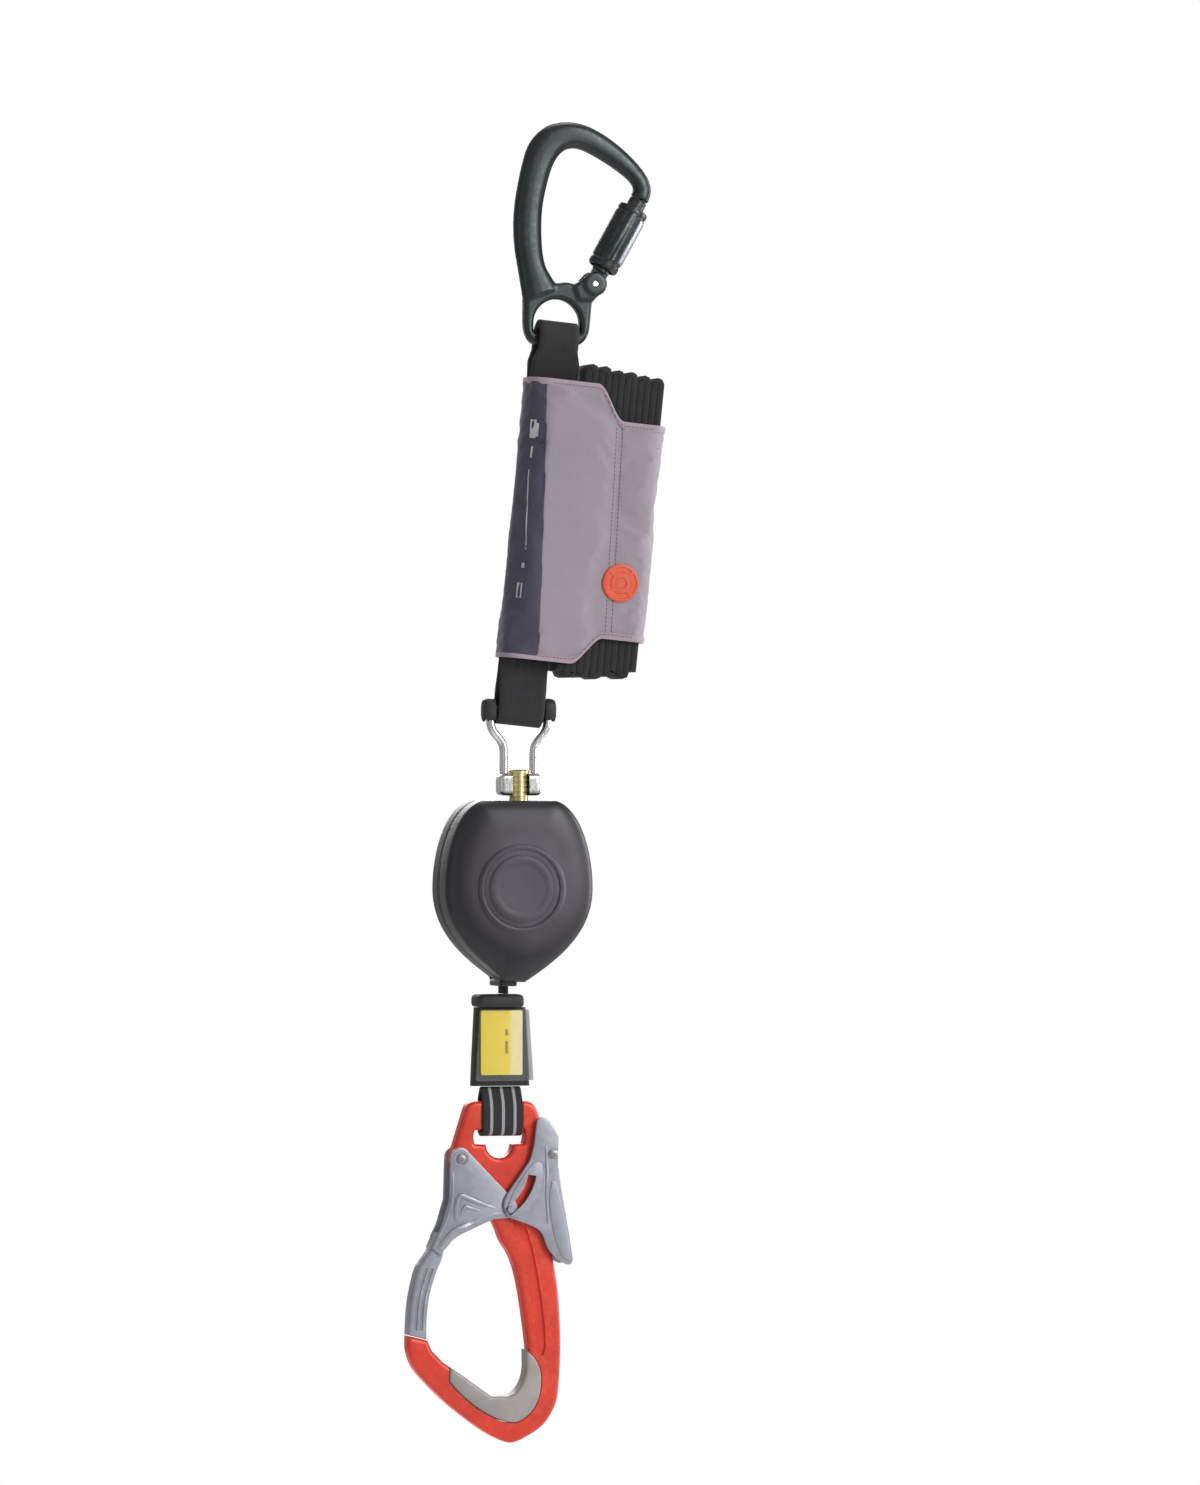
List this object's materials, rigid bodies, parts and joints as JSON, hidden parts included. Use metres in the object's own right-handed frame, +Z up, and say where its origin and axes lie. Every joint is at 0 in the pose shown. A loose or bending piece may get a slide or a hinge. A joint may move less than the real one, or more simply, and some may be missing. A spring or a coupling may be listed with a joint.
{
  "type": "self retracting lifeline",
  "caption": "Personal self retracting lifeline: twist-lock carabiner, covered energy absorber, swivel shackle, shield-shaped webbing retractor and double-action scaffold hook.",
  "frame": {"origin": "highest point inside the top carabiner, where it bears on its anchor", "axes": "+Z up along the hanging line, -Y is the front with the label and badge, +X to the right as seen from the front"},
  "size_m": [0.1576, 0.045, 0.7914],
  "materials": {
    "black_aluminium": "satin",
    "steel": "bright",
    "brass": "satin",
    "webbing": "woven",
    "cover_fabric": "woven",
    "panel_fabric": "woven",
    "badge": "matt",
    "housing_plastic": "satin",
    "drum_plastic": "matt",
    "red_aluminium": "anodised",
    "grey_alloy": "satin",
    "insert_alloy": "matt",
    "label": "printed",
    "clear_plastic": "clear"
  },
  "bodies": {
    "anchor_carabiner": {"carabiner_frame": "black_aluminium", "carabiner_gate_pin": "steel"},
    "carabiner_gate": {"carabiner_gate": "black_aluminium", "carabiner_gate_spring": "steel", "carabiner_sleeve_spring": "steel"},
    "carabiner_sleeve": {"carabiner_twist_sleeve": "black_aluminium"},
    "absorber_pack": {"upper_webbing_loop": "webbing", "lower_webbing_loop": "webbing", "tear_webbing": "webbing", "absorber_cover": "cover_fabric", "cover_side_panel": "panel_fabric", "cover_badge": "badge"},
    "swivel_shackle": {"shackle_bow": "steel", "shackle_cross_pin": "steel"},
    "retractor_housing": {"front_cover": "housing_plastic", "rear_cover": "housing_plastic", "cover_screw_1": "steel", "cover_screw_2": "steel", "cover_screw_3": "steel", "cover_screw_4": "steel", "main_frame": "steel", "swivel_bolt": "brass", "swivel_nut": "steel", "webbing_nozzle": "housing_plastic", "lifeline_inner_run": "webbing", "axle": "steel", "axle_bridge": "steel", "spring_arbor": "steel", "power_spring": "steel"},
    "drum": {"drum": "drum_plastic", "drum_bush": "brass", "webbing_coil": "webbing", "pawl_pin_1": "steel", "pawl_pin_2": "steel"},
    "pawl_1": {"pawl_1": "steel"},
    "pawl_2": {"pawl_2": "steel"},
    "line_end": {"lifeline_strap": "webbing", "stop_buffer": "drum_plastic", "line_sleeve": "webbing", "information_label": "label", "label_cover": "clear_plastic"},
    "scaffold_hook": {"end_webbing_loop": "webbing", "hook_body": "red_aluminium", "hook_bowl_insert": "insert_alloy", "hook_gate_rivet": "steel", "hook_lever_rivet": "steel", "hook_gate_spring": "steel"},
    "hook_gate": {"hook_gate": "grey_alloy"},
    "hook_lock_lever": {"hook_lock_lever": "grey_alloy"}
  },
  "joints": [
    {"name": "carabiner_gate_hinge", "type": "hinge", "parent": "anchor_carabiner", "child": "carabiner_gate", "pos_m": [0.0138, 0, -0.0815], "axis": [0, -1, 0], "range_deg": [0, 26], "stiffness_Nm_per_rad": 0.2, "springref_deg": -57.3},
    {"name": "sleeve_twist", "type": "hinge", "parent": "carabiner_gate", "child": "carabiner_sleeve", "pos_m": [0.0138, 0, -0.0815], "axis": [0.4863, 0, 0.8738], "range_deg": [0, 90], "stiffness_Nm_per_rad": 0.03, "springref_deg": -57.3},
    {"name": "absorber_swing", "type": "hinge", "parent": "anchor_carabiner", "child": "absorber_pack", "pos_m": [-0.0095, 0, -0.115], "axis": [1, 0, 0], "range_deg": [-90, 90]},
    {"name": "shackle_swing", "type": "hinge", "parent": "absorber_pack", "child": "swivel_shackle", "pos_m": [-0.0325, 0, -0.338], "axis": [1, 0, 0], "range_deg": [-90, 90]},
    {"name": "housing_swivel", "type": "hinge", "parent": "swivel_shackle", "child": "retractor_housing", "pos_m": [-0.0325, 0, -0.38], "axis": [0, 0, 1], "continuous": true},
    {"name": "lifeline_extend", "type": "slide", "parent": "retractor_housing", "child": "line_end", "axis": [0, 0, -1], "range_m": [0, 1.9], "stiffness_N_per_m": 3, "springref_m": -2.5, "deforming": ["lifeline_strap"]},
    {"name": "drum_spin", "type": "hinge", "parent": "retractor_housing", "child": "drum", "pos_m": [-0.0365, 0, -0.444], "axis": [0, -1, 0], "range_deg": [0, 4100]},
    {"name": "pawl_1_hinge", "type": "hinge", "parent": "drum", "child": "pawl_1", "pos_m": [-0.0165, -0.0156, -0.444], "axis": [0, 1, 0], "range_deg": [0, 10], "stiffness_Nm_per_rad": 0.01, "springref_deg": -28.65},
    {"name": "pawl_2_hinge", "type": "hinge", "parent": "drum", "child": "pawl_2", "pos_m": [-0.0565, -0.0156, -0.444], "axis": [0, 1, 0], "range_deg": [0, 10], "stiffness_Nm_per_rad": 0.01, "springref_deg": -28.65},
    {"name": "hook_swing", "type": "hinge", "parent": "line_end", "child": "scaffold_hook", "pos_m": [-0.044, 0, -0.5667], "axis": [1, 0, 0], "range_deg": [-50, 50]},
    {"name": "hook_gate_hinge", "type": "hinge", "parent": "scaffold_hook", "child": "hook_gate", "pos_m": [-0.07, 0, -0.6054], "axis": [0, -1, 0], "range_deg": [0, 30], "stiffness_Nm_per_rad": 0.4, "springref_deg": -57.3},
    {"name": "lock_lever_hinge", "type": "hinge", "parent": "scaffold_hook", "child": "hook_lock_lever", "pos_m": [-0.0138, 0, -0.603], "axis": [0, 1, 0], "range_deg": [0, 4.5], "stiffness_Nm_per_rad": 0.5, "springref_deg": -28.65}
  ],
  "couplings": [
    {"joint": "drum_spin", "follows": "lifeline_extend", "rad_per_m": 37.2},
    {"joint": "lock_lever_hinge", "follows": "hook_gate_hinge", "ratio": 0.15}
  ]
}
